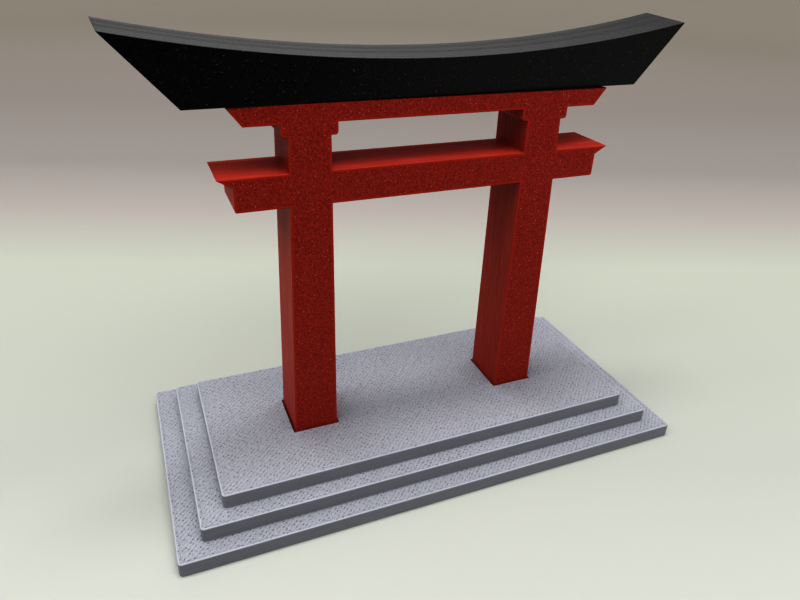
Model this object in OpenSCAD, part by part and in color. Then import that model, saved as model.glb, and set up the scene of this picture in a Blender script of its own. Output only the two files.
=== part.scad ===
// Desk model of a torii gate, printed in three pieces and put together by hand.
// A stepped base holds the feet of a one-piece gate frame in two sockets.
// A curved roof beam lies on the frame's lintel.
// +X runs along the gate, -Y faces the front, +Z is up, and the origin is under the middle of the base.

/* [Base] */
// Length of the lowest step, along the gate
base_length = 66; // [54:0.5:90]
// Width of the lowest step, front to back
base_width = 31.7; // [20:0.1:48]
// Number of steps
step_count = 3; // [2:1:4]
// Height of each step
step_height = 1.8; // [1.2:0.1:3]
// Tread left bare at each end of a step
tread_end = 2.8; // [1:0.1:4.5]
// Tread left bare at the front and the back of a step
tread_front = 2.25; // [1:0.05:4]
// Rounding of the upright corners of the steps
corner_radius = 0.5; // [0.1:0.1:0.9]
// Thickness of the base left under the sockets
socket_floor = 2; // [0.6:0.1:3]
// Gap between a foot and each wall of its socket
socket_clearance = 0.2; // [0.05:0.05:0.4]

/* [Pillars] */
// Clear width between the pillars
gateway_width = 23.2; // [14:0.1:30]
// Width of a pillar where it meets the base
foot_width = 5.45; // [3:0.05:8]
// Width of a pillar under its cap block
neck_width = 4.45; // [2:0.05:5.4]
// Height of the pillars above the base
pillar_height = 37; // [34.5:0.5:50]
// Depth of the whole gate frame, front to back
frame_depth = 6.6; // [4:0.1:10]

/* [Tie beam] */
// Height of the gateway, from the base to the underside of the tie beam
gateway_height = 29.7; // [18:0.1:32]
// Height of the tie beam
tie_height = 3.6; // [2:0.1:6]
// Length of the tie beam along its underside
tie_length = 43.8; // [36:0.1:60]
// Reach of the pointed lip past each end of the tie beam
lip_reach = 1.6; // [0.4:0.1:4]
// Height of the lip, from its root up to its point
lip_height = 0.95; // [0.4:0.05:1.8]

/* [Cap blocks and lintel] */
// Height of the cap block on each pillar
cap_height = 1.3; // [0.6:0.1:3]
// Reach of a cap block past its pillar on each side
cap_reach = 0.75; // [0.2:0.05:2]
// Height of the lintel
lintel_height = 1.95; // [1:0.05:4]
// Length of the lintel along its underside
lintel_length = 40.9; // [35:0.1:60]
// How much further each end of the lintel reaches at its top
lintel_slant = 1.5; // [0.2:0.05:4]

/* [Roof beam] */
// Depth of the roof beam, front to back
roof_depth = 7; // [5:0.1:12]
// Length of the roof beam between its tips
roof_length = 64.7; // [54:0.1:90]
// Length of the roof beam along its flat underside
roof_seat_length = 52.4; // [44:0.1:62]
// Height of the roof beam at its middle
roof_middle_height = 4; // [2:0.05:6]
// Height of the roof beam's tips above its underside
roof_tip_height = 7.05; // [5:0.05:12]
// Fall of the roof beam's top from back to front, in degrees
roof_fall = 3; // [0:0.5:5]
// Set of the roof beam back from the middle of the lintel
roof_set_back = 0.5; // [-0.5:0.05:1]
// Set of the roof beam over to the right of the middle of the lintel
roof_set_over = 0.25; // [-1:0.05:1]
// Turn of the roof beam out of line with the lintel, in degrees
roof_turn = 1.1; // [-2:0.1:2]

/* [Hidden] */

// Length by which a cut runs past the face that it opens
overrun = 0.5;
// Facets of the small round corners and of the long roof arc
corner_facets = 48;
arc_facets = 720;

// Levels, upwards from the ground
base_height = step_count * step_height;
tie_bottom = base_height + gateway_height;
cap_bottom = base_height + pillar_height;
lintel_bottom = cap_bottom + cap_height;
roof_bottom = lintel_bottom + lintel_height;

// The roof's arc passes through both tips and through the middle of its top, half-way from front to back
roof_rise = roof_tip_height - roof_middle_height;
roof_arc_radius = (pow(roof_length / 2, 2) + pow(roof_rise, 2)) / (2 * roof_rise);
// Sideways run of a roof end for each unit of height
roof_end_slope = (roof_length - roof_seat_length) / 2 / roof_tip_height;

// Flat outline drawn in X and Z, carried from front to back over the given depth
module front_outline(depth) {
    rotate([90, 0, 0])
        linear_extrude(height = depth, center = true)
            children();
}

// The child and its mirror image across the middle of the gate
module both_sides() {
    children();
    mirror([1, 0, 0])
        children();
}

// Rectangle about the origin with its corners rounded
module rounded_rectangle(length, width, radius) {
    square([length - 2 * radius, width], center = true);
    square([length, width - 2 * radius], center = true);
    for (x = [-1, 1], y = [-1, 1])
        translate([x * (length / 2 - radius), y * (width / 2 - radius)])
            circle(r = radius, $fn = corner_facets);
}

// One step of the base, counted from the ground
module step(index) {
    translate([0, 0, index * step_height])
        linear_extrude(height = step_height)
            rounded_rectangle(
                base_length - 2 * index * tread_end,
                base_width - 2 * index * tread_front,
                corner_radius
            );
}

// Room for one foot, open at the top of the base
module socket() {
    translate([gateway_width / 2 - socket_clearance, -frame_depth / 2 - socket_clearance, socket_floor])
        cube([
            foot_width + 2 * socket_clearance,
            frame_depth + 2 * socket_clearance,
            base_height - socket_floor + overrun
        ]);
}

module stepped_base() {
    color("#8E8E9C")
        difference() {
            for (index = [0 : step_count - 1])
                step(index);
            both_sides()
                socket();
        }
}

// Right-hand pillar: its inner edge is plumb, its outer edge slopes in, and its foot goes down into the socket
module pillar_outline() {
    inner = gateway_width / 2;
    polygon([
        [inner, socket_floor],
        [inner + foot_width, socket_floor],
        [inner + foot_width, base_height],
        [inner + neck_width, cap_bottom],
        [inner, cap_bottom]
    ]);
}

// Block that widens the head of the right-hand pillar
module cap_outline() {
    translate([gateway_width / 2 - cap_reach, cap_bottom])
        square([neck_width + 2 * cap_reach, cap_height]);
}

// Tie beam between and past the pillars, its ends drawn out to a pointed lip at the top
module tie_outline() {
    end = tie_length / 2;
    tip = end + lip_reach;
    top = tie_bottom + tie_height;
    root = top - lip_height;
    polygon([
        [-end, tie_bottom],
        [end, tie_bottom],
        [end, root],
        [tip, top],
        [-tip, top],
        [-end, root]
    ]);
}

// Lintel across the cap blocks, longer at its top than at its underside
module lintel_outline() {
    end = lintel_length / 2;
    polygon([
        [-end, lintel_bottom],
        [end, lintel_bottom],
        [end + lintel_slant, roof_bottom],
        [-end - lintel_slant, roof_bottom]
    ]);
}

module gate_frame() {
    color("#8C1A10")
        front_outline(frame_depth) {
            both_sides() {
                pillar_outline();
                cap_outline();
            }
            tie_outline();
            lintel_outline();
        }
}

// Slanted ends of the roof, drawn past the tips
module roof_blank_outline() {
    end = roof_seat_length / 2;
    blank_height = roof_tip_height + roof_depth / 2 * tan(roof_fall) + overrun;
    blank_end = end + roof_end_slope * blank_height;
    polygon([
        [-end, roof_bottom],
        [end, roof_bottom],
        [blank_end, roof_bottom + blank_height],
        [-blank_end, roof_bottom + blank_height]
    ]);
}

// Long round cut that dishes the roof's top and ends it at the tips; its axis dips towards the front
module roof_dish() {
    translate([0, 0, roof_bottom + roof_middle_height])
        rotate([roof_fall, 0, 0])
            translate([0, 0, roof_arc_radius])
                rotate([90, 0, 0])
                    cylinder(r = roof_arc_radius, h = 2 * roof_depth, center = true, $fn = arc_facets);
}

// Set on by hand, so it lies flat on the lintel but a little out of line with it
module roof_beam() {
    color("#141416")
        translate([roof_set_over, roof_set_back, 0])
            rotate([0, 0, roof_turn])
                difference() {
                    front_outline(roof_depth)
                        roof_blank_outline();
                    roof_dish();
                }
}

stepped_base();
gate_frame();
roof_beam();
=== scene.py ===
"""Looks of a printed desk model of a torii gate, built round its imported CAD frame.

The model is three filament prints put together by hand. The grey stepped base was printed upright. The red
gate frame and the black roof beam were printed lying on their fronts, so their layers stack from front to
back. Lengths inside the classes are in millimetres, and become metres when a mesh is written.
"""

import logging
import math
from dataclasses import dataclass
from enum import Enum

import bmesh
import bpy
import numpy as np
from bpy.types import Material, Mesh, Node, NodeSocket, NodeTree, Object
from mathutils import Matrix, Vector
from mathutils.geometry import tessellate_polygon


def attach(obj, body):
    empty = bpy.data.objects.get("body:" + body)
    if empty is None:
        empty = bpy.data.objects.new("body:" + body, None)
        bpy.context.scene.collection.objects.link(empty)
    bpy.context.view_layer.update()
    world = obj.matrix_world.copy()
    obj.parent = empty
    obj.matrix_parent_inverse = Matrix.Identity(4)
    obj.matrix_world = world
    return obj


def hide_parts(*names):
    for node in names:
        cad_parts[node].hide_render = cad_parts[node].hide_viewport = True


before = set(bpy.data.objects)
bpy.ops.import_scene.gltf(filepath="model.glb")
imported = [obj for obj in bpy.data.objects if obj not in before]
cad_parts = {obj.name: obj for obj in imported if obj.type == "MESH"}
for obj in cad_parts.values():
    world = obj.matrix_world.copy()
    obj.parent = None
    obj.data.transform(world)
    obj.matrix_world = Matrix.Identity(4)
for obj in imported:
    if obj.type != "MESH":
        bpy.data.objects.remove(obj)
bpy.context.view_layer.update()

LOG = logging.getLogger("torii_gate")
MM = 0.001
# Points closer than this, in millimetres, are one point
WELD = 0.0001
# Runs along a closed line rise by at least this much from point to point
RUN_STEP = 0.0001
# Decimal places that tell distances across the slanting lines apart
PLACES = 5
# Rate, shift and size of the sine that scatters numbers, and the step between the numbers of two walls
HASH_RATE, HASH_SHIFT, HASH_SIZE = 12.9898, 4.1, 43758.5453
SEED_STEP = 57.0
BLACK = (0.0, 0.0, 0.0, 1.0)


class Side(Enum):
    """Part of a print that a face belongs to, by the way it was made.

    A lip is a bead along an edge, and a joint is where the next print lies. A face that goes by its direction
    becomes one of the first three when it is dressed.
    """

    PLATE = 0
    WALL = 1
    LAST = 2
    LIP = 3
    JOINT = 4
    BY_DIRECTION = 5


class Lay(Enum):
    """Way that a print lay on the plate, by the number of the axis that its layers stack along."""

    ON_FRONT = 1
    UPRIGHT = 2

    @property
    def stacked(self) -> np.ndarray:
        """Direction in which the layers stack."""
        return np.eye(3)[self.value]

    @property
    def turn(self) -> tuple[float, float, float]:
        """Turn that lays the last layer level, with its lines at 45 degrees."""
        tip = math.radians(90) if self is Lay.ON_FRONT else 0.0
        return tip, 0.0, math.radians(45)


def hashed(number: np.ndarray) -> np.ndarray:
    """Steady scatter from 0 to 1: the fractional part of a large multiple of a sine."""
    return np.mod(np.sin(number * HASH_RATE + HASH_SHIFT) * HASH_SIZE, 1.0)


def linear(code: str) -> tuple[float, float, float, float]:
    """Turns a colour to linear light by the sRGB curve.

    Args:
        code: sRGB colour, as a hash sign and six hex digits.

    Returns:
        Linear red, green and blue, with full alpha.
    """
    srgb = np.array([int(code[place:place + 2], 16) for place in (1, 3, 5)]) / 255
    light = np.where(srgb <= 0.04045, srgb / 12.92, ((srgb + 0.055) / 1.055) ** 2.4)
    return (*light.tolist(), 1.0)


def per_metre(size: float) -> float:
    """Texture scale that gives features of a size in millimetres on Object coordinates in metres."""
    return 1 / (size * MM)


def add_node(
    tree: NodeTree, kind: str, inputs: dict[str | int, object] | None = None, **settings: object
) -> Node:
    """Adds a shader node with its settings, values and links.

    Args:
        tree: Tree that takes the node.
        kind: Blender's type of the node, without the ShaderNode that it starts with.
        inputs: Value, socket to link, or node whose first output to link, for each input by name or number.
        settings: The node's own properties.

    Returns:
        The new node.
    """
    node = tree.nodes.new(f"ShaderNode{kind}")
    for name, value in settings.items():
        setattr(node, name, value)
    for key, value in (inputs or {}).items():
        source = value.outputs[0] if isinstance(value, Node) else value
        if isinstance(source, NodeSocket):
            tree.links.new(source, node.inputs[key])
        else:
            node.inputs[key].default_value = source
    return node


def new_material(name: str, values: dict[str, object]) -> tuple[Material, Node]:
    """Makes a material with values on its shader's own sockets.

    Args:
        name: The real material, and how its surface was made.
        values: Value for each socket by its name.

    Returns:
        The material and its shader node.
    """
    material = bpy.data.materials.new(name)
    material.use_nodes = True
    shader = material.node_tree.nodes["Principled BSDF"]
    for socket, value in values.items():
        shader.inputs[socket].default_value = value
    return material, shader


def bounced(tree: NodeTree, colour: NodeSocket, held_back: float) -> NodeSocket:
    """Holds a colour back from the light that bounces off it on to other things.

    The picture's tones are spread wider than the light's own, so whole bounces would fill its shadows.

    Args:
        tree: Tree of the material.
        colour: Colour that the camera sees.
        held_back: Share of the bounced light that is kept back.

    Returns:
        The colour to give the shader.
    """
    rays = add_node(tree, "LightPath")
    share = add_node(tree, "Math", {0: rays.outputs["Is Diffuse Ray"], 1: held_back}, operation="MULTIPLY")
    dimmed = add_node(tree, "Mix", {"Factor": share, "A": colour, "B": BLACK}, data_type="RGBA")
    return dimmed.outputs["Result"]


@dataclass
class Edge:
    """Closed line of points in space, with the run of each along the line."""

    points: np.ndarray
    run: np.ndarray


class Shell:
    """Patches of surface that are gathered, welded where they meet and written as one closed mesh."""

    def __init__(self) -> None:
        """Starts with nothing gathered."""
        self.points: list[np.ndarray] = []
        self.faces: list[list[int]] = []
        self.sides: list[int] = []
        self.count = 0

    def keep(self, points: np.ndarray) -> int:
        """Keeps points for faces to come.

        Args:
            points: Points, with the axis last.

        Returns:
            Number of the first.
        """
        first = self.count
        self.points.append(points.reshape(-1, 3))
        self.count += len(self.points[-1])
        return first

    def add(self, faces: np.ndarray, side: Side) -> None:
        """Adds faces, by the numbers of their points, and the side that they belong to."""
        self.faces += faces.tolist()
        self.sides += [side.value] * len(faces)

    def grid(self, points: np.ndarray, closed: bool = False, side: Side = Side.BY_DIRECTION) -> None:
        """Adds a quad between each two rows and columns of a grid.

        Args:
            points: Points by row, column and axis.
            closed: Whether the last column meets the first.
            side: Side that the quads belong to.
        """
        rows, columns = points.shape[:2]
        number = self.keep(points) + np.arange(rows * columns).reshape(rows, columns)
        if closed:
            number = np.hstack([number, number[:, :1]])
        quads = np.stack([number[:-1, :-1], number[:-1, 1:], number[1:, 1:], number[1:, :-1]], axis=-1)
        self.add(quads.reshape(-1, 4), side)

    def flat(self, *lines: np.ndarray) -> None:
        """Adds triangles over a flat area.

        Args:
            lines: Closed line round the area, then those round its holes.
        """
        first = self.keep(np.concatenate(lines))
        triangles = tessellate_polygon([line.tolist() for line in lines])
        self.add(np.array(triangles) + first, Side.BY_DIRECTION)

    def stitch(self, first: Edge, second: Edge) -> None:
        """Adds triangles between two closed lines that are counted along the same run.

        Each point makes a triangle with the point before it on its own line and with the last point of the
        other line that comes earlier.

        Args:
            first: One of the lines.
            second: The other.
        """
        starts = self.keep(first.points), self.keep(second.points)
        pairs = ((first, second, *starts, "left"), (second, first, *starts[::-1], "right"))
        for here, there, here_start, there_start, tie in pairs:
            number = np.arange(len(here.run))
            other = np.mod(np.searchsorted(there.run, here.run, side=tie) - 1, len(there.run))
            triangles = [np.roll(number, 1) + here_start, number + here_start, other + there_start]
            self.add(np.stack(triangles, axis=-1), Side.BY_DIRECTION)

    def mesh(self, name: str) -> Mesh:
        """Welds what was gathered into a mesh whose faces point outwards.

        Args:
            name: Name of the mesh.

        Returns:
            The mesh, in metres.
        """
        mesh = bpy.data.meshes.new(name)
        mesh.from_pydata((np.concatenate(self.points) * MM).tolist(), [], self.faces)
        mesh.polygons.foreach_set("material_index", np.array(self.sides, dtype=np.int32))
        work = bmesh.new()
        work.from_mesh(mesh)
        bmesh.ops.remove_doubles(work, verts=work.verts, dist=WELD * MM)
        bmesh.ops.recalc_face_normals(work, faces=work.faces)
        open_edges = sum(not edge.is_manifold for edge in work.edges)
        work.to_mesh(mesh)
        LOG.info("%s: %d faces, %d open edges", name, len(work.faces), open_edges)
        work.free()
        return mesh

    def piece(self, name: str) -> Object:
        """Writes the mesh and puts it into the scene.

        Args:
            name: Name of the piece.

        Returns:
            The new object, at the origin.
        """
        piece = bpy.data.objects.new(name, self.mesh(name))
        bpy.context.scene.collection.objects.link(piece)
        return piece


@dataclass(frozen=True)
class Plastic:
    """Filament: printed PLA of one colour, with the shades that its surface takes.

    The eye sees a flat colour under a soft gloss.
    """

    name: str
    base: str
    shade: str
    light: str
    roughness: float = 0.42
    specular: float = 0.5
    ior: float = 1.46
    # How dark the grain's low spots and the pinholes are painted, as painted shade; it also sets how deep the
    # last layer's pinholes sink in the bump.
    pit_shade_and_depth: float = 0.8
    # Brightness of the painted glints on faces printed against the plate.
    painted_glints: float = 0.5
    held_back: float = 0.45

    def start(self, finish: str) -> tuple[Material, Node]:
        """Material of this plastic with a finish named in words, and its shader node."""
        return new_material(f"{self.name}, {finish}", {
            "Base Color": linear(self.base),
            "Roughness": self.roughness,
            "IOR": self.ior,
            "Specular IOR Level": self.specular,
        })

    def paint(self, tree: NodeTree, shader: Node, tone: Node) -> None:
        """Colours the shader by a tone: the shade at -1, the base at 0 and the light at 1.

        Args:
            tree: Tree of the material.
            shader: The material's shader.
            tone: Node that gives the tone.
        """
        share = add_node(tree, "MapRange", {"Value": tone, "From Min": -1.0, "From Max": 1.0})
        ramp = add_node(tree, "ValToRGB", {"Fac": share})
        ramp.color_ramp.elements.new(0.5)
        for element, code in zip(ramp.color_ramp.elements, (self.shade, self.base, self.light)):
            element.color = linear(code)
        tree.links.new(bounced(tree, ramp.outputs["Color"], self.held_back), shader.inputs["Base Color"])


@dataclass(frozen=True)
class PlateFinish:
    """Face that was printed against a powder-coated plate: the coat's grain is pressed into the plastic.

    The eye sees a dense dark grain, partly random in tone and darkest in its low spots, where shade is
    painted in, and sparse pale spots that are painted glints, standing for steep facets that catch the light.
    The coat's finest grain is too small to show, so the glints are drawn coarser. Pit size, the cells that
    hold a glint each and the grain's depth are in millimetres. A glint fills a share of its cell, fully in
    its inner third.
    """

    plastic: Plastic
    pit: float = 0.18
    cell: float = 0.3
    glint_reach: float = 0.28
    depth: float = 0.035
    crest: float = 0.1
    stretch: float = 1.0
    faintest: float = 0.2
    spread: tuple[float, float] = (0.34, 0.68)

    def material(self) -> Material:
        """Works the grain up as shade, flecks and bump.

        Returns:
            The material.
        """
        material, shader = self.plastic.start("printed against the plate")
        tree = material.node_tree
        place = add_node(tree, "TexCoord").outputs["Object"]
        grain = add_node(tree, "TexNoise", {
            "Vector": place, "Scale": per_metre(self.pit), "Detail": 1.5, "Roughness": 0.6,
        })
        cells = add_node(tree, "Mapping", {"Vector": place, "Scale": (1 / self.stretch, 1.0, 1.0)})
        spots = add_node(tree, "TexVoronoi", {"Vector": cells, "Scale": per_metre(self.cell)})
        chance = add_node(tree, "SeparateColor", {"Color": spots.outputs["Color"]})
        gleam = add_node(tree, "MapRange", {
            "Value": chance.outputs["Red"], "To Min": self.faintest, "To Max": self.plastic.painted_glints,
        }, interpolation_type="SMOOTHSTEP")
        # Random tone, darkest where the grain is lowest: painted shade in its low spots.
        mottle_and_pit_shade = add_node(tree, "MapRange", {
            "Value": grain, "From Min": self.spread[0], "From Max": self.spread[1],
            "To Min": -self.plastic.pit_shade_and_depth, "To Max": self.crest,
        })
        # Pale spots at the middles of the cells: painted glints.
        painted_glints = add_node(tree, "MapRange", {
            "Value": spots.outputs["Distance"], "From Min": self.glint_reach, "From Max": self.glint_reach / 3,
            "To Max": gleam,
        }, interpolation_type="SMOOTHSTEP")
        speckle = add_node(tree, "Math", {0: painted_glints, 1: mottle_and_pit_shade})
        self.plastic.paint(tree, shader, speckle)
        bump = add_node(tree, "Bump", {"Strength": 1.0, "Distance": self.depth * MM, "Height": grain})
        tree.links.new(bump.outputs["Normal"], shader.inputs["Normal"])
        return material


@dataclass(frozen=True)
class WallFinish:
    """Wall of stacked layers, smooth along each layer.

    The eye sees faint streaks along the layers, where the nozzle ran faster or slower. Their sizes are in
    millimetres, and their tones go a little darker and paler than the ground.
    """

    plastic: Plastic
    lay: Lay
    streak_across: float = 0.2
    streak_along: float = 5.0
    ground: float = 0.0
    darker: float = 0.18
    paler: float = 0.1
    spread: tuple[float, float] = (0.3, 0.7)

    def material(self) -> Material:
        """Stretches a noise along the layers to make the streaks.

        Returns:
            The material.
        """
        material, shader = self.plastic.start("stacked layers")
        tree = material.node_tree
        place = add_node(tree, "TexCoord").outputs["Object"]
        scale = [per_metre(self.streak_along)] * 3
        scale[self.lay.value] = per_metre(self.streak_across)
        stretched = add_node(tree, "Mapping", {"Vector": place, "Scale": scale})
        streak = add_node(tree, "TexNoise", {"Vector": stretched, "Scale": 1.0, "Detail": 2.0})
        tone = add_node(tree, "MapRange", {
            "Value": streak, "From Min": self.spread[0], "From Max": self.spread[1],
            "To Min": self.ground - self.darker, "To Max": self.ground + self.paler,
        })
        self.plastic.paint(tree, shader, tone)
        return material


@dataclass(frozen=True)
class PlainFinish:
    """Narrow strip of one tone: a lip as a painted highlight, or a joint as painted shade."""

    plastic: Plastic
    place: str
    colour: str

    def material(self) -> Material:
        """Makes a plain material in the strip's painted colour.

        Returns:
            The material.
        """
        material, shader = self.plastic.start(self.place)
        shader.inputs["Base Color"].default_value = linear(self.colour)
        return material


@dataclass(frozen=True)
class LastLayerFinish:
    """Last layer of a print: slanting lines over a layer that runs the other way.

    Pinholes stay open in the valleys between the lines, mostly where they cross the valleys below, so the eye
    sees short dark dashes in rows along the lines, on a surface with a fine pale grain. The dashes are
    painted shade in the pinholes, which also sink in the bump. Pitch, grain and depth are in millimetres. A
    dash is so many pitches long, and a pinhole reaches from the least to the most of a cell, though some are
    all but sealed. A valley is a share of a pinhole's depth.
    """

    plastic: Plastic
    lay: Lay
    pitch: float = 0.447
    dash: float = 1.5
    scatter: float = 0.5
    least: float = 0.1
    most: float = 0.34
    core: float = 0.08
    sealed: float = 0.2
    grain: float = 0.16
    hollow: float = 0.2
    crest: float = 0.5
    spread: tuple[float, float] = (0.35, 0.7)
    valley: float = 0.5
    depth: float = 0.05

    def material(self) -> Material:
        """Sets the pinholes out in turned cells, and adds fine grain, and the lines as bump.

        Returns:
            The material.
        """
        material, shader = self.plastic.start("last layer")
        tree = material.node_tree
        place = add_node(tree, "TexCoord").outputs["Object"]
        turned = add_node(tree, "Mapping", {"Vector": place, "Rotation": self.lay.turn})
        cells = add_node(tree, "Mapping", {
            "Vector": turned,
            "Location": (self.scatter / 2, self.scatter / 2, 0.0),
            "Scale": (per_metre(self.pitch), per_metre(self.pitch * self.dash), 1.0),
        })
        holes = add_node(tree, "TexVoronoi", {
            "Vector": cells, "Scale": 1.0, "Randomness": self.scatter,
        }, voronoi_dimensions="2D")
        chance = add_node(tree, "SeparateColor", {"Color": holes.outputs["Color"]})
        size = add_node(tree, "MapRange", {
            "Value": chance.outputs["Red"], "From Min": self.sealed,
            "To Min": self.least, "To Max": self.most,
        })
        # Pinholes: painted shade in the tone, and sunk in the bump.
        hole = add_node(tree, "MapRange", {
            "Value": holes.outputs["Distance"], "From Min": size, "From Max": self.core,
            "To Max": self.plastic.pit_shade_and_depth,
        }, interpolation_type="SMOOTHSTEP")
        grain = add_node(tree, "TexNoise", {"Vector": place, "Scale": per_metre(self.grain), "Detail": 1.0})
        pale = add_node(tree, "MapRange", {
            "Value": grain, "From Min": self.spread[0], "From Max": self.spread[1],
            "To Min": -self.hollow, "To Max": self.crest,
        })
        speckle = add_node(tree, "Math", {0: pale, 1: hole}, operation="SUBTRACT")
        self.plastic.paint(tree, shader, speckle)
        across = add_node(tree, "SeparateXYZ", {"Vector": turned})
        middle = add_node(tree, "Math", {
            0: across.outputs["X"], 1: self.pitch * MM / 2,
        }, operation="PINGPONG")
        ridge = add_node(tree, "MapRange", {
            "Value": middle, "From Max": self.pitch * MM / 4,
            "To Min": -self.valley, "To Max": 0.0,
        }, interpolation_type="SMOOTHSTEP")
        height = add_node(tree, "Math", {0: ridge, 1: hole}, operation="SUBTRACT")
        bump = add_node(tree, "Bump", {"Strength": 1.0, "Distance": self.depth * MM, "Height": height})
        tree.links.new(bump.outputs["Normal"], shader.inputs["Normal"])
        return material


# Any finish that a side of a print can have
Finish = PlateFinish | WallFinish | PlainFinish | LastLayerFinish


@dataclass(frozen=True)
class LayerStack:
    """Rows across a printed wall: every layer bulges a little, with a groove between neighbours.

    The rows that turn the first and the last edge round are told by their distance from the edge's face and
    by their share of the edge's inset.
    """

    height: float = 0.2
    groove: float = 0.014
    wander: float = 0.01
    edge: float = 0.05
    first_edge: tuple[tuple[float, float], ...] = ((0.0, 1.0), (0.012, 0.55), (0.045, 0.15))
    last_edge: tuple[tuple[float, float], ...] = ((0.04, 0.2), (0.0, 0.7))

    def rows(self, total: float, seed: int) -> tuple[np.ndarray, np.ndarray]:
        """Depth below the first face, and inset from the wall's outermost line, of each row.

        A layer's middle lies at half its height with a small inset of its own, and the groove under it at its
        full height with the groove's inset. The first and last rows turn the edges round.

        Args:
            total: Height of the wall.
            seed: Number that sets this wall's scatter.

        Returns:
            Depths and insets of the rows.
        """
        count = round(total / self.height)
        layer = np.arange(count)
        middle = np.stack([(layer + 0.5) * total / count, self.wander * hashed(layer + SEED_STEP * seed)])
        groove = np.stack([layer[1:] * total / count, np.full(count - 1, self.groove)])
        start = np.array(self.first_edge).T * [[1.0], [self.edge]]
        end = np.array([[total], [0.0]]) + np.array(self.last_edge).T * [[-1.0], [self.edge]]
        rows = np.hstack([start, middle, groove, end])
        return tuple(rows[:, np.argsort(rows[0])])


def rounded(corners: np.ndarray, radius: np.ndarray, turns: int) -> tuple[np.ndarray, np.ndarray]:
    """Closed outline with every corner turned into an arc.

    A corner's arc starts short of it by the radius times the tangent of half the turn, and its points lie at
    the radius from a centre on the inner side of the turn.

    Args:
        corners: Corners, with the solid on the left of the way along them.
        radius: Radius at each corner.
        turns: Points on each arc.

    Returns:
        Points of the outline and the unit direction out of the solid at each.
    """
    way_in = corners - np.roll(corners, 1, axis=-2)
    way_in /= np.linalg.norm(way_in, axis=-1, keepdims=True)
    way_out = np.roll(way_in, -1, axis=-2)
    cross = way_in[..., 0] * way_out[..., 1] - way_in[..., 1] * way_out[..., 0]
    turn = np.arctan2(cross, (way_in * way_out).sum(axis=-1))
    signed = (np.sign(turn) * radius)[..., None]
    normal_in = np.stack([way_in[..., 1], -way_in[..., 0]], axis=-1)
    centre = corners - way_in * (radius * np.abs(np.tan(turn / 2)))[..., None] - signed * normal_in
    start = np.arctan2(normal_in[..., 1], normal_in[..., 0])[..., None]
    angle = start + turn[..., None] * np.linspace(0, 1, turns)
    outward = np.stack([np.cos(angle), np.sin(angle)], axis=-1)
    points = centre[..., None, :] + signed[..., None, :] * outward
    flat = (*corners.shape[:-2], -1, 2)
    return points.reshape(flat), outward.reshape(flat)


def drawn_in(corners: np.ndarray, distance: float) -> np.ndarray:
    """Moves an outline's corners into the solid, each along the mitre between its two edges.

    Args:
        corners: Corners, with the solid on the left of the way along them.
        distance: Distance between the edges and their new places.

    Returns:
        The moved corners.
    """
    way = np.roll(corners, -1, axis=0) - corners
    way /= np.linalg.norm(way, axis=-1, keepdims=True)
    after = np.stack([way[:, 1], -way[:, 0]], axis=-1)
    before = np.roll(after, 1, axis=0)
    return corners - distance * (before + after) / (1 + (before * after).sum(axis=-1, keepdims=True))


@dataclass
class Loop:
    """Closed line in plan, with the way off it at each point and the run of each along it."""

    points: np.ndarray
    outward: np.ndarray
    run: np.ndarray

    @classmethod
    def rectangle(cls, middle: float, half: np.ndarray, turns: int, spacing: float, sense: int) -> "Loop":
        """Line round a rectangle, from its left back corner and on to its left front corner.

        Each corner is repeated with the way off it swinging through a right angle, so that a line set off by
        a distance gets round corners. A single point in a corner goes off along the mitre.

        Args:
            middle: Distance of the rectangle's middle to the right.
            half: Half its length and half its width.
            turns: Points in each corner.
            spacing: Distance between points on the sides.
            sense: 1 to go off outwards, -1 inwards.

        Returns:
            The line.
        """
        corners = np.array([[-1, 1], [-1, -1], [1, -1], [1, 1]]) * half
        swing = np.linspace(90, 180, turns) if turns > 1 else np.array([135.0])
        reach = 1.0 if turns > 1 else math.sqrt(2)
        points, angles, reaches = [], [], []
        for number, (here, after) in enumerate(zip(corners, np.roll(corners, -1, axis=0))):
            between = np.linspace(0, 1, max(2, round(np.linalg.norm(after - here) / spacing)) + 1)[1:-1]
            points += [np.repeat(here[None], turns, axis=0), here + between[:, None] * (after - here)]
            angles += [swing + 90 * number, np.full(len(between), 180.0 + 90 * number)]
            reaches += [np.full(turns, reach), np.ones(len(between))]
        parts = [np.concatenate(part) for part in (points, angles, reaches)]
        points, angles, reaches = (np.roll(part, -(turns // 2), axis=0) for part in parts)
        outward = np.stack([np.cos(np.radians(angles)), np.sin(np.radians(angles))], axis=-1)
        steps = np.linalg.norm(np.diff(points, axis=0), axis=-1)
        run = np.concatenate([[0.0], np.cumsum(steps + RUN_STEP)])
        return cls(points + [middle, 0.0], sense * reaches[:, None] * outward, run)

    def rows(self, offset: np.ndarray, level: np.ndarray) -> np.ndarray:
        """Grid of the line set off by each row's distance, at each row's level."""
        flat = self.points + offset[:, None, None] * self.outward
        return np.concatenate([flat, np.broadcast_to(level[:, None, None], (*flat.shape[:2], 1))], axis=-1)


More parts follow.
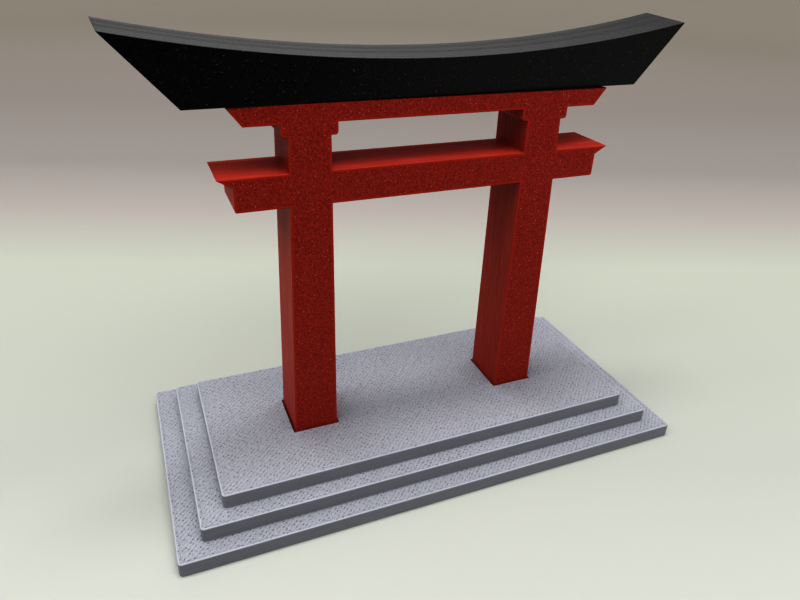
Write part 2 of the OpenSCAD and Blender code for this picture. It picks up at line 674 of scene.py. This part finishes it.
@dataclass
class Chords:
    """Slanting lines over an area, told by their ends on its low side and on its high side.

    Each side has a row for each point of the area's line: its distance across, its place along and its run.
    """

    low: np.ndarray
    high: np.ndarray

    @classmethod
    def inside(cls, plan: np.ndarray, run: np.ndarray) -> "Chords":
        """Chords inside a closed line that starts where the distance across is least.

        Args:
            plan: Points of the line.
            run: Run of each point.

        Returns:
            The chords.
        """
        across, along = slanted(plan)
        line = np.stack([across, along, run], axis=-1)
        closed = np.vstack([line, line[:1]])
        closed[-1, 2] = run[-1] + np.linalg.norm(plan[-1] - plan[0]) + RUN_STEP
        peak = int(np.argmax(across))
        return cls(closed[:peak + 1], closed[peak:][::-1])

    def ends(self, across: np.ndarray) -> tuple[np.ndarray, ...]:
        """Place along and run of the low ends, then of the high ends, at these distances across."""
        parts = [(chain, column) for chain in (self.low, self.high) for column in (1, 2)]
        return tuple(np.interp(across, chain[:, 0], chain[:, column]) for chain, column in parts)


def slanted(plan: np.ndarray) -> tuple[np.ndarray, np.ndarray]:
    """Distances across and along the slanting lines of points in plan."""
    return (plan[..., 0] - plan[..., 1]) / math.sqrt(2), (plan[..., 0] + plan[..., 1]) / math.sqrt(2)


def unslanted(across: np.ndarray, along: np.ndarray, level: np.ndarray) -> np.ndarray:
    """Points in space from distances across and along the slanting lines, and levels."""
    return np.stack([(along + across) / math.sqrt(2), (along - across) / math.sqrt(2), level], axis=-1)


@dataclass
class Print:
    """One printed piece: the CAD node it stands for, a slot name that is not used, how it lay on the plate
    and its finishes.

    A face was against the plate, or is of the last layer, where its direction falls or rises along the stack
    of layers by more than the limits here.
    """

    node: str
    slot: str
    lay: Lay
    finishes: dict[Side, Finish]
    plate_limit: float = -0.75
    last_limit: float = 0.6

    def publish(self, shell: Shell) -> Object:
        """Writes the piece's mesh, dresses it and sets it in place of its CAD node.

        Args:
            shell: The piece's surface.

        Returns:
            The new object.
        """
        piece = shell.piece(f"{self.node}_print")
        self.dress(piece)
        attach(piece, "root")
        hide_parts(self.node)
        return piece

    def dress(self, piece: Object) -> None:
        """Gives each face the finish of its side; one without a tag has the side that its direction tells.

        Args:
            piece: The piece, with each face's tag as its material.
        """
        slot = np.zeros(len(Side), dtype=np.int32)
        for number, (side, finish) in enumerate(self.finishes.items()):
            piece.data.materials.append(finish.material())
            slot[side.value] = number
        count = len(piece.data.polygons)
        normals, tag = np.empty(3 * count), np.empty(count, dtype=np.int32)
        piece.data.polygons.foreach_get("normal", normals)
        piece.data.polygons.foreach_get("material_index", tag)
        rise = normals.reshape(-1, 3) @ self.lay.stacked
        limits = [rise < self.plate_limit, rise > self.last_limit]
        side = np.select(limits, [Side.PLATE.value, Side.LAST.value], Side.WALL.value)
        side = np.where(tag == Side.BY_DIRECTION.value, side, tag)
        piece.data.polygons.foreach_set("material_index", slot[side])
        piece.data.update()


@dataclass
class GateFrame:
    """Red frame in one piece: two pillars with cap blocks, the tie beam and the lintel.

    A pillar's corner at the base's top is so shallow that a large radius leaves it nearly as it is.
    """

    plastic: Plastic
    base_height: float = 5.4
    socket_floor: float = 2.0
    gateway_width: float = 23.2
    foot_width: float = 5.45
    neck_width: float = 4.45
    pillar_height: float = 37.0
    depth: float = 6.6
    gateway_height: float = 29.7
    tie_height: float = 3.6
    tie_length: float = 43.8
    lip_reach: float = 1.6
    lip_height: float = 0.95
    cap_height: float = 1.3
    cap_reach: float = 0.75
    lintel_height: float = 1.95
    lintel_length: float = 40.9
    lintel_slant: float = 1.5
    corner: float = 0.22
    nook: float = 0.06
    cap_corner: float = 0.35
    tip: float = 0.03
    shallow: float = 8.0
    bead: float = 0.24
    arc: int = 7
    layers: LayerStack = LayerStack()

    @property
    def top(self) -> float:
        """Level of the lintel's top."""
        return self.base_height + self.pillar_height + self.cap_height + self.lintel_height

    def outer_edge(self, level: float) -> float:
        """Distance of a pillar's sloping outer edge from the middle, at a level above the base."""
        share = (level - self.base_height) / self.pillar_height
        return self.gateway_width / 2 + self.foot_width + share * (self.neck_width - self.foot_width)

    def outlines(self) -> tuple[np.ndarray, np.ndarray]:
        """Corners of the frame's outline and of the gap between the two beams, each with its radius.

        The right half runs up from the foot to the lintel's top, and the left half is its mirror image back
        down.

        Returns:
            The outline and the gap, by corner: distance to the right, level and radius.
        """
        inner = self.gateway_width / 2
        tie_low = self.base_height + self.gateway_height
        tie_top = tie_low + self.tie_height
        cap_low = self.base_height + self.pillar_height
        beam_low = cap_low + self.cap_height
        tie_end, beam_end = self.tie_length / 2, self.lintel_length / 2
        cap_out, cap_in = inner + self.neck_width + self.cap_reach, inner - self.cap_reach
        half = np.array([
            (inner, self.socket_floor, self.corner),
            (inner + self.foot_width, self.socket_floor, self.corner),
            (inner + self.foot_width, self.base_height, self.shallow),
            (self.outer_edge(tie_low), tie_low, self.nook),
            (tie_end, tie_low, self.corner),
            (tie_end, tie_top - self.lip_height, self.nook),
            (tie_end + self.lip_reach, tie_top, self.tip),
            (self.outer_edge(tie_top), tie_top, self.nook),
            (self.outer_edge(cap_low), cap_low, self.nook),
            (cap_out, cap_low, self.cap_corner),
            (cap_out, beam_low, self.nook),
            (beam_end, beam_low, self.corner),
            (beam_end + self.lintel_slant, self.top, 2 * self.tip),
        ])
        gateway_top = np.array([(-inner, tie_low, self.nook), (inner, tie_low, self.nook)])
        half_gap = np.array([
            (inner, tie_top, self.nook),
            (inner, cap_low, self.nook),
            (cap_in, cap_low, self.cap_corner),
            (cap_in, beam_low, self.nook),
        ])
        mirror = [-1, 1, 1]
        outline = np.vstack([half, half[::-1] * mirror, gateway_top])
        return outline, np.vstack([half_gap * mirror, half_gap[::-1]])

    def finishes(self) -> dict[Side, Finish]:
        """Finish of each side of the frame."""
        return {
            Side.PLATE: PlateFinish(self.plastic, cell=0.34, glint_reach=0.25, crest=-0.1),
            Side.WALL: WallFinish(self.plastic, Lay.ON_FRONT),
            Side.LAST: LastLayerFinish(self.plastic, Lay.ON_FRONT, crest=0.08),
            # The lip's pale colour is a painted highlight on the front's outline bead.
            Side.LIP: PlainFinish(self.plastic, "outline bead, painted highlight", "#CA422A"),
            # The joint's dark colour is painted shade on the lintel's top under the roof.
            Side.JOINT: PlainFinish(self.plastic, "painted shade in the joint", "#2A0806"),
        }

    def build(self) -> Object:
        """Builds the frame: its outline carried from front to back through the layers, closed by flat faces.

        On the front a bead with a painted highlight lies between the outline and the same outline drawn in.
        It leaves out the lintel's top edge, and the wall there is the joint under the roof, painted in shade.

        Returns:
            The frame's object.
        """
        shell = Shell()
        outline, gap = self.outlines()
        depth, inset = self.layers.rows(self.depth, seed=1)
        ends = []
        for line in (outline, gap):
            corners, radius = line[:, :2], line[:, 2]
            points, outward = rounded(corners, radius, self.arc)
            flat = points - inset[:, None, None] * outward
            level = np.broadcast_to((depth - self.depth / 2)[:, None], flat.shape[:2])
            rows = np.stack([flat[..., 0], level, flat[..., 1]], axis=-1)
            inner_radius = np.where(radius == self.shallow, radius, self.tip)
            inner, _ = rounded(drawn_in(corners, self.bead), inner_radius, self.arc)
            inner = np.stack([inner[:, 0], level[0], inner[:, 1]], axis=-1)
            if line is outline:
                crown = -self.arc * (len(outline) // 2 - 1)
                rows, inner = np.roll(rows, crown, axis=1), np.roll(inner, crown, axis=0)
                # The lintel's top strip under the roof, painted in shade.
                shell.grid(rows[:, [-1, 0]], side=Side.JOINT)
                shell.grid(np.stack([inner, rows[0]])[:, [-1, 0]])
            shell.grid(rows, closed=line is gap)
            # Bead round the front, with a painted highlight.
            shell.grid(np.stack([inner, rows[0]]), closed=line is gap, side=Side.LIP)
            ends.append((inner, rows[-1]))
        for lines in zip(*ends):
            shell.flat(*lines)
        return Print("gate_frame", "red_print", Lay.ON_FRONT, self.finishes()).publish(shell)


@dataclass
class RoofBeam:
    """Black roof beam: a flat underside, slanting ends and a dished top that falls to the front.

    The corners along the dished top are so shallow that a large radius leaves them nearly as they are.
    """

    plastic: Plastic
    bottom: float
    depth: float = 7.0
    length: float = 64.7
    seat_length: float = 52.4
    middle_height: float = 4.0
    tip_height: float = 7.05
    fall: float = 3.0
    set_back: float = 0.5
    set_over: float = 0.25
    turn: float = 1.1
    corner: float = 0.12
    tip: float = 0.04
    shallow: float = 4.0
    arc: int = 5
    top_points: int = 90
    substitutions: int = 6
    layers: LayerStack = LayerStack()

    def outlines(self, depth: np.ndarray) -> np.ndarray:
        """Corners of the beam's outline at each depth, with its top's arc lifted towards the back.

        The top is the circle through both tips and the middle, raised by the depth times the tangent of the
        fall. Each tip lies where that circle meets the end's slanting line, found by repeated substitution.

        Args:
            depth: Distances behind the beam's middle.

        Returns:
            Corners by depth, along the outline and axis.
        """
        rise = self.tip_height - self.middle_height
        circle = ((self.length / 2) ** 2 + rise ** 2) / (2 * rise)
        slope = (self.length - self.seat_length) / 2 / self.tip_height
        lift = self.middle_height + depth * math.tan(math.radians(self.fall))
        tip = np.full_like(depth, self.length / 2)
        for _ in range(self.substitutions):
            tip = self.seat_length / 2 + slope * (lift + circle - np.sqrt(circle ** 2 - tip ** 2))
        across = tip[:, None] * np.linspace(1, -1, self.top_points)
        top = lift[:, None] + circle - np.sqrt(circle ** 2 - across ** 2)
        seat = np.array([[-1.0, 0.0], [1.0, 0.0]]) * self.seat_length / 2
        seats = np.broadcast_to(seat, (len(depth), 2, 2))
        return np.concatenate([seats, np.stack([across, top], axis=-1)], axis=1) + [0.0, self.bottom]

    def finishes(self) -> dict[Side, Finish]:
        """Finish of each side of the beam."""
        return {
            Side.PLATE: PlateFinish(self.plastic, glint_reach=0.22, crest=0.2, stretch=2.0),
            Side.WALL: WallFinish(self.plastic, Lay.ON_FRONT),
            Side.LAST: LastLayerFinish(self.plastic, Lay.ON_FRONT, crest=0.2),
        }

    def build(self) -> Object:
        """Builds the beam: its outline carried from front to back, then turned and set as it lies.

        Returns:
            The beam's object.
        """
        shell = Shell()
        depth, inset = self.layers.rows(self.depth, seed=2)
        corners = self.outlines(depth - self.depth / 2)
        radius = np.full(corners.shape[1], self.shallow)
        radius[[0, 1]] = self.corner
        radius[[2, -1]] = self.tip
        points, outward = rounded(corners, radius, self.arc)
        flat = points - inset[:, None, None] * outward
        level = np.broadcast_to((depth - self.depth / 2)[:, None], flat.shape[:2])
        cos, sin = math.cos(math.radians(self.turn)), math.sin(math.radians(self.turn))
        rows = np.stack([
            cos * flat[..., 0] - sin * level + self.set_over,
            sin * flat[..., 0] + cos * level + self.set_back,
            flat[..., 1],
        ], axis=-1)
        shell.grid(rows, closed=True)
        shell.flat(rows[0])
        shell.flat(rows[-1])
        return Print("roof_beam", "black_print", Lay.ON_FRONT, self.finishes()).publish(shell)


@dataclass
class SteppedBase:
    """Grey base of three steps, with a socket for each foot of the frame.

    Every tread ends in a rim, a raised bead whose rows are told by their share of the rim's width and by
    their drop below the tread. The wall's own rows start under it. A riser's last two rows lie just above the
    tread that it stands on.
    """

    plastic: Plastic
    gate: GateFrame
    length: float = 66.0
    width: float = 31.7
    steps: int = 3
    step_height: float = 1.8
    tread_end: float = 2.8
    tread_front: float = 2.25
    socket_clearance: float = 0.2
    rim: float = 0.46
    socket_rim: float = 0.4
    rim_shares: tuple[float, ...] = (0.08, 0.3, 0.6, 0.86, 0.97)
    rim_drops: tuple[float, ...] = (0.045, 0.01, 0.0, 0.022, 0.06)
    wall_start: float = 0.05
    riser_feet: tuple[float, float] = (0.07, 0.02)
    pitch: float = 0.447
    valley: float = 0.03
    stagger: float = 0.01
    jitter: float = 0.014
    samples: int = 8
    layers: LayerStack = LayerStack()

    def bead(self, across: np.ndarray) -> np.ndarray:
        """Height of the last layer's lines below their level: flat on top, falling to a valley on each side.

        With u from -1 to 1 across a line, the height falls by the valley times u cubed, and by the line's own
        sink times one less u squared. Every other line is sunk, and each by a scatter of its own.

        Args:
            across: Distances across the lines.

        Returns:
            Heights, none above zero.
        """
        line = np.floor(across / self.pitch)
        u = 2 * (across / self.pitch - line) - 1
        sink = self.stagger * np.mod(line, 2) + self.jitter * hashed(line)
        return -self.valley * np.abs(u) ** 3 - sink * (1 - u ** 2)

    def fill(self, shell: Shell, level: float, outer: Chords, holes: list[Chords]) -> list[Edge]:
        """Adds a tread: the slanting lines from the outer line to the holes and from the holes on.

        Args:
            shell: Surface that takes the tread.
            level: Level of the tread.
            outer: Chords of the whole tread.
            holes: Chords of the holes in it, which don't share a distance across.

        Returns:
            Edge of the tread, then of each hole.
        """
        reach = outer.low[[0, -1], 0]
        step = self.pitch / self.samples
        lattice = np.arange(math.ceil(reach[0] / step), math.floor(reach[1] / step) + 1) * step
        chains = [chain[:, 0] for area in (outer, *holes) for chain in (area.low, area.high)]
        across = np.unique(np.concatenate([lattice, *chains]).round(PLACES))
        height = level + self.bead(across)
        ends = outer.ends(across)
        begin, _, end, _ = ends
        near = (begin + end) / 2
        far = near.copy()
        edges = [self.join(across, height, ends)]
        for hole in holes:
            first, last = hole.low[[0, -1], 0].round(PLACES)
            inside = (across >= first) & (across <= last)
            ends = hole.ends(across[inside])
            near[inside], _, far[inside], _ = ends
            edges.append(self.join(across[inside], height[inside], ends))
        for start, stop in ((begin, near), (far, end)):
            shell.grid(np.stack([unslanted(across, start, height), unslanted(across, stop, height)]))
        return edges

    @staticmethod
    def join(across: np.ndarray, height: np.ndarray, ends: tuple[np.ndarray, ...]) -> Edge:
        """Closed edge along the low ends of the lines and back along their high ends.

        Args:
            across: Distance across of each line.
            height: Level of each line there.
            ends: Ends of the lines, as Chords gives them.

        Returns:
            The edge.
        """
        low, low_run, high, high_run = ends
        back = slice(-2, 0, -1)
        there, here = unslanted(across, low, height), unslanted(across[back], high[back], height[back])
        return Edge(np.vstack([there, here]), np.concatenate([low_run, high_run[back]]))

    def wall(self, rim: float, height: float, seed: int) -> tuple[np.ndarray, np.ndarray]:
        """Rows over a rim and down the layers of the wall under it.

        Args:
            rim: Width of the rim.
            height: Height of the wall.
            seed: Number that sets this wall's scatter.

        Returns:
            Distance off the tread's edge, and drop below the tread, of each row.
        """
        depth, inset = self.layers.rows(height, seed)
        under = depth > self.wall_start
        offset = np.concatenate([rim * np.array(self.rim_shares), rim - inset[under]])
        return offset, np.concatenate([self.rim_drops, depth[under]])

    def riser(self, shell: Shell, edge: Edge, loop: Loop, level: float, lowest: bool) -> np.ndarray:
        """Adds the bead along a tread's edge and the layers of the riser below it.

        The bead is of the last layer up to its crown, then turns over a lip with a painted highlight, and the
        rest is wall.

        Args:
            shell: Surface that takes them.
            edge: Edge of the tread.
            loop: Line that the edge follows.
            level: Level of the tread.
            lowest: Whether the riser stands on the ground.

        Returns:
            Last row of points.
        """
        offset, drop = self.wall(self.rim, self.step_height, seed=3 + round(level))
        if not lowest:
            offset[-2:], drop[-2:] = self.rim, self.step_height - np.array(self.riser_feet)
        rows = loop.rows(offset, level - drop)
        # Last-layer rows, then the lip rows that carry a painted highlight, then the wall rows.
        parts = ((rows[:3], Side.LAST), (rows[2:4], Side.LIP), (rows[3:], Side.WALL))
        for part, side in parts:
            shell.grid(part, closed=True, side=side)
        shell.stitch(edge, Edge(rows[0], loop.run))
        return rows[-1]

    def socket(self, shell: Shell, edge: Edge, loop: Loop, level: float) -> None:
        """Adds the bead round a socket, its walls and its floor.

        Args:
            shell: Surface that takes them.
            edge: Edge of the hole in the tread.
            loop: Line that the edge follows.
            level: Level of the tread.
        """
        offset, drop = self.wall(self.socket_rim, level - self.gate.socket_floor, seed=9)
        rows = loop.rows(offset, level - drop)
        shell.grid(rows, closed=True)
        shell.stitch(edge, Edge(rows[0], loop.run))
        shell.flat(rows[-1])

    def finishes(self) -> dict[Side, Finish]:
        """Finish of each side of the base."""
        return {
            Side.PLATE: PlateFinish(self.plastic),
            Side.WALL: WallFinish(self.plastic, Lay.UPRIGHT, ground=0.15),
            Side.LAST: LastLayerFinish(self.plastic, Lay.UPRIGHT, self.pitch),
            # The lip's pale colour is a painted highlight along each tread's edge.
            Side.LIP: PlainFinish(self.plastic, "rim with painted highlight", "#BCBDC6"),
        }

    def build(self) -> Object:
        """Builds the base from the top step down, each riser ending in the hole of the tread below it.

        Returns:
            The base's object.
        """
        shell = Shell()
        foot = np.array([self.gate.foot_width, self.gate.depth]) / 2 + self.socket_clearance + self.socket_rim
        reach = (self.gate.gateway_width + self.gate.foot_width) / 2
        sockets = [Loop.rectangle(side * reach, foot, turns=1, spacing=1.0, sense=-1) for side in (-1, 1)]
        holes = [Chords.inside(loop.points, loop.run) for loop in sockets]
        tread = np.array([self.tread_end, self.tread_front])
        below = None
        for index in reversed(range(self.steps)):
            level = (index + 1) * self.step_height
            half = np.array([self.length, self.width]) / 2 - index * tread
            loop = Loop.rectangle(0.0, half - self.rim, turns=9, spacing=1.5, sense=1)
            edge, *inner = self.fill(shell, level, Chords.inside(loop.points, loop.run), holes)
            if below is None:
                for hole, socket in zip(inner, sockets):
                    self.socket(shell, hole, socket, level)
            else:
                shell.stitch(inner[0], below)
            last = self.riser(shell, edge, loop, level, lowest=index == 0)
            below = Edge(last, loop.run)
            holes = [Chords.inside(last[:, :2], loop.run)]
        shell.flat(below.points)
        return Print("stepped_base", "grey_print", Lay.UPRIGHT, self.finishes()).publish(shell)


@dataclass(frozen=True)
class PaintedBoard:
    """Painted board, pale and matt.

    The eye sees no gloss. Its tone fades from near to far and its upper part is dark, both painted shade. The
    colours are given at distances behind the gate, along a way that slants from it.
    """

    tone_and_shade_stops: tuple[tuple[float, str], ...] = (
        (-50, "#DDDFD9"), (-10, "#C7C9C2"), (50, "#C5C8BE"), (82, "#B9B3AF"),
        (118, "#A8A39F"), (200, "#A39C98"), (400, "#A59E95"),
    )
    nearest: float = -100.0
    farthest: float = 400.0
    slant: float = 19.7
    shade_from: float = 50.0
    shade_to: float = 110.0
    shade_depth: float = 0.85
    held_back: float = 0.55
    roughness: float = 0.6

    def material(self) -> Material:
        """Colours the board by distance and darkens it with height, both as painted shade.

        Returns:
            The material.
        """
        material, shader = new_material("Pale matt board with painted shade", {
            "Roughness": self.roughness, "Specular IOR Level": 0.0,
        })
        tree = material.node_tree
        place = add_node(tree, "TexCoord").outputs["Object"]
        turned = add_node(tree, "Mapping", {
            "Vector": place, "Rotation": (0.0, 0.0, math.radians(self.slant)),
        })
        away = add_node(tree, "SeparateXYZ", {"Vector": turned})
        share = add_node(tree, "MapRange", {
            "Value": away.outputs["Y"], "From Min": self.nearest * MM, "From Max": self.farthest * MM,
        })
        # Tone that fades from near to far: the board's pale colour with painted shade.
        ramp = add_node(tree, "ValToRGB", {"Fac": share})
        elements = ramp.color_ramp.elements
        for _ in self.tone_and_shade_stops[2:]:
            elements.new(0.5)
        for element, (distance, code) in zip(elements, self.tone_and_shade_stops):
            element.position = (distance - self.nearest) / (self.farthest - self.nearest)
            element.color = linear(code)
        # Painted shade that darkens the board higher up.
        upper_shade = add_node(tree, "MapRange", {
            "Value": away.outputs["Z"], "From Min": self.shade_from * MM, "From Max": self.shade_to * MM,
            "To Max": self.shade_depth,
        })
        dimmed = add_node(tree, "Mix", {
            "Factor": upper_shade, "A": bounced(tree, ramp.outputs["Color"], self.held_back),
            "B": BLACK,
        }, data_type="RGBA")
        tree.links.new(dimmed.outputs["Result"], shader.inputs["Base Color"])
        return material


@dataclass(frozen=True)
class Floor:
    """Pale floor: a disc that turns up at its rim into a backdrop."""

    flat_reach: float = 500.0
    cove: float = 300.0
    flat_rings: int = 12
    cove_rings: int = 25
    columns: int = 96
    board: PaintedBoard = PaintedBoard()

    def build(self) -> None:
        """Lays the floor in polar steps: level to its flat reach, then up a quarter of a circle."""
        swing = np.radians(np.linspace(0, 90, self.cove_rings))[1:]
        flat = np.linspace(0, self.flat_reach, self.flat_rings)
        reach = np.concatenate([flat, self.flat_reach + self.cove * np.sin(swing)])[:, None]
        level = np.concatenate([np.zeros_like(flat), self.cove * (1 - np.cos(swing))])[:, None]
        angle = np.linspace(0, 2 * np.pi, self.columns + 1)[:-1]
        right, back = reach * np.cos(angle), reach * np.sin(angle)
        shell = Shell()
        shell.grid(np.stack([right, back, np.broadcast_to(level, right.shape)], axis=-1), closed=True)
        floor = shell.piece("floor")
        floor.data.shade_smooth()
        floor.data.materials.append(self.board.material())


@dataclass(frozen=True)
class Flag:
    """Upright board of black felt in front of the gate, which the camera doesn't see.

    The felt swallows light, so the eye sees darker fronts.
    """

    radius: float = 95.0
    shift: float = -10.0
    sweep: tuple[float, float] = (-70.0, 25.0)
    height: float = 70.0
    columns: int = 25
    colour: str = "#0A0A0A"

    def build(self) -> None:
        """Stands the board up as part of an upright cylinder: a radius swept through angles off the front."""
        angle = np.radians(np.linspace(*self.sweep, self.columns))
        foot = np.stack([
            self.radius * np.sin(angle) + self.shift, -self.radius * np.cos(angle), np.zeros(self.columns),
        ], axis=-1)
        shell = Shell()
        shell.grid(np.stack([foot, foot + [0.0, 0.0, self.height]]))
        flag = shell.piece("flag")
        flag.visible_camera = False
        felt, _ = new_material("Black felt", {
            "Base Color": linear(self.colour), "Roughness": 1.0, "Specular IOR Level": 0.0,
        })
        flag.data.materials.append(felt)


@dataclass(frozen=True)
class SoftBox:
    """Soft light: where it stands as seen from the gate, its size and the light that it lays on the floor.

    Lean and bearing are in degrees, lengths in millimetres and the strength in watts per square metre. A
    light for only one piece names it.
    """

    name: str
    lean: float
    bearing: float
    length: float
    width: float
    strength: float
    distance: float = 1500.0
    only: str = ""

    def place(self) -> tuple[float, float, float]:
        """Place of the light, from its lean off the vertical and its bearing anticlockwise from the right.

        Returns:
            Distances to the right, to the back and up.
        """
        lean, bearing = math.radians(self.lean), math.radians(self.bearing)
        flat = self.distance * math.sin(lean)
        return flat * math.cos(bearing), flat * math.sin(bearing), self.distance * math.cos(lean)

    def power(self) -> float:
        """Watts that give the strength on the floor under the gate."""
        return self.strength * math.pi * (self.distance * MM) ** 2 / math.cos(math.radians(self.lean))

    def build(self) -> None:
        """Hangs the light, pointed at the gate, and links it to its one piece where it has one."""
        data = bpy.data.lights.new(self.name, "AREA")
        data.shape = "RECTANGLE"
        data.size, data.size_y = self.length * MM, self.width * MM
        data.energy = self.power()
        holder = bpy.data.objects.new(self.name, data)
        holder.location = Vector(self.place()) * MM
        holder.rotation_euler = (-holder.location).to_track_quat("-Z", "Y").to_euler()
        bpy.context.scene.collection.objects.link(holder)
        if self.only:
            lit = bpy.data.collections.new(f"{self.name} light")
            lit.objects.link(bpy.data.objects[self.only])
            holder.light_linking.receiver_collection = lit


@dataclass(frozen=True)
class Viewpoint:
    """Camera where the picture was taken from: its place, its heading, its dip and its roll in degrees."""

    eye: tuple[float, float, float] = (-30.435, -65.915, 59.671)
    yaw: float = 23.357
    pitch: float = 29.039
    roll: float = -2.151
    lens: float = 28.975
    sensor: float = 36.0
    nearest: float = 1.0

    def build(self) -> None:
        """Sets up the camera: it looks along its heading and dip, and the roll turns it about that line."""
        yaw, pitch, roll = (math.radians(angle) for angle in (self.yaw, self.pitch, self.roll))
        forward = Vector((math.sin(yaw) * math.cos(pitch), math.cos(yaw) * math.cos(pitch), -math.sin(pitch)))
        level = Vector((math.cos(yaw), -math.sin(yaw), 0.0))
        below = forward.cross(level)
        right = math.cos(roll) * level + math.sin(roll) * below
        down = math.cos(roll) * below - math.sin(roll) * level
        data = bpy.data.cameras.new("camera")
        data.sensor_width = self.sensor
        data.lens = self.lens
        data.clip_start = self.nearest * MM
        camera = bpy.data.objects.new("camera", data)
        turn = Matrix((right, -down, -forward)).transposed()
        camera.matrix_world = Matrix.Translation(Vector(self.eye) * MM) @ turn.to_4x4()
        bpy.context.scene.collection.objects.link(camera)
        bpy.context.scene.camera = camera


@dataclass(frozen=True)
class Studio:
    """Floor, dark board, soft lights and camera, with the contrast of the picture's tones."""

    floor: Floor = Floor()
    flag: Flag = Flag()
    viewpoint: Viewpoint = Viewpoint()
    room_light: float = 0.4
    contrast: float = 1.6
    lamps: tuple[SoftBox, ...] = (
        SoftBox("overhead", 5.0, 85.0, 900.0, 280.0, 1.4),
        SoftBox("front", 26.0, 272.0, 2000.0, 1100.0, 1.95),
        SoftBox("strip", 20.0, 292.0, 125.0, 23.0, 0.54, distance=207.0, only="gate_frame_print"),
        SoftBox("left", 43.0, 180.0, 700.0, 700.0, 0.48),
        SoftBox("back", 40.0, 115.0, 800.0, 800.0, 0.5, only="stepped_base_print"),
        SoftBox("window", 73.0, 74.0, 1000.0, 340.0, 0.32, distance=700.0, only="roof_beam_print"),
    )

    def room(self) -> None:
        """Adds even soft light from the room all round."""
        world = bpy.data.worlds.new("room")
        world.use_nodes = True
        background = world.node_tree.nodes["Background"]
        background.inputs["Color"].default_value = linear("#FFFFFF")
        background.inputs["Strength"].default_value = self.room_light
        bpy.context.scene.world = world

    def build(self) -> None:
        """Sets up the floor, the dark board, the lights, the camera and the contrast."""
        self.floor.build()
        self.flag.build()
        self.room()
        for lamp in self.lamps:
            lamp.build()
        self.viewpoint.build()
        view = bpy.context.scene.view_settings
        view.view_transform = "Standard"
        view.gamma = 1 / self.contrast


def main() -> None:
    """Builds the three prints and the studio, and logs each piece."""
    logging.basicConfig(level=logging.INFO, format="%(message)s")
    # Each plastic's pale colour is the top of its grain and streak tones, and the colour of its painted
    # glints.
    grey = Plastic("Grey PLA", "#ACADB4", "#74757E", "#C4C5CE", specular=0.2, pit_shade_and_depth=0.75)
    red = Plastic("Red PLA", "#D04C3B", "#801D17", "#FFC8B4", specular=0.16, pit_shade_and_depth=0.67, painted_glints=0.88)
    black = Plastic("Black PLA", "#080809", "#050506", "#5E6062", roughness=0.4, specular=0.38, painted_glints=1.7)
    gate = GateFrame(red)
    for part in (SteppedBase(grey, gate), gate, RoofBeam(black, gate.top)):
        piece = part.build()
        LOG.info("built %s", piece.name)
    Studio().build()


if __name__ == "__main__":
    main()
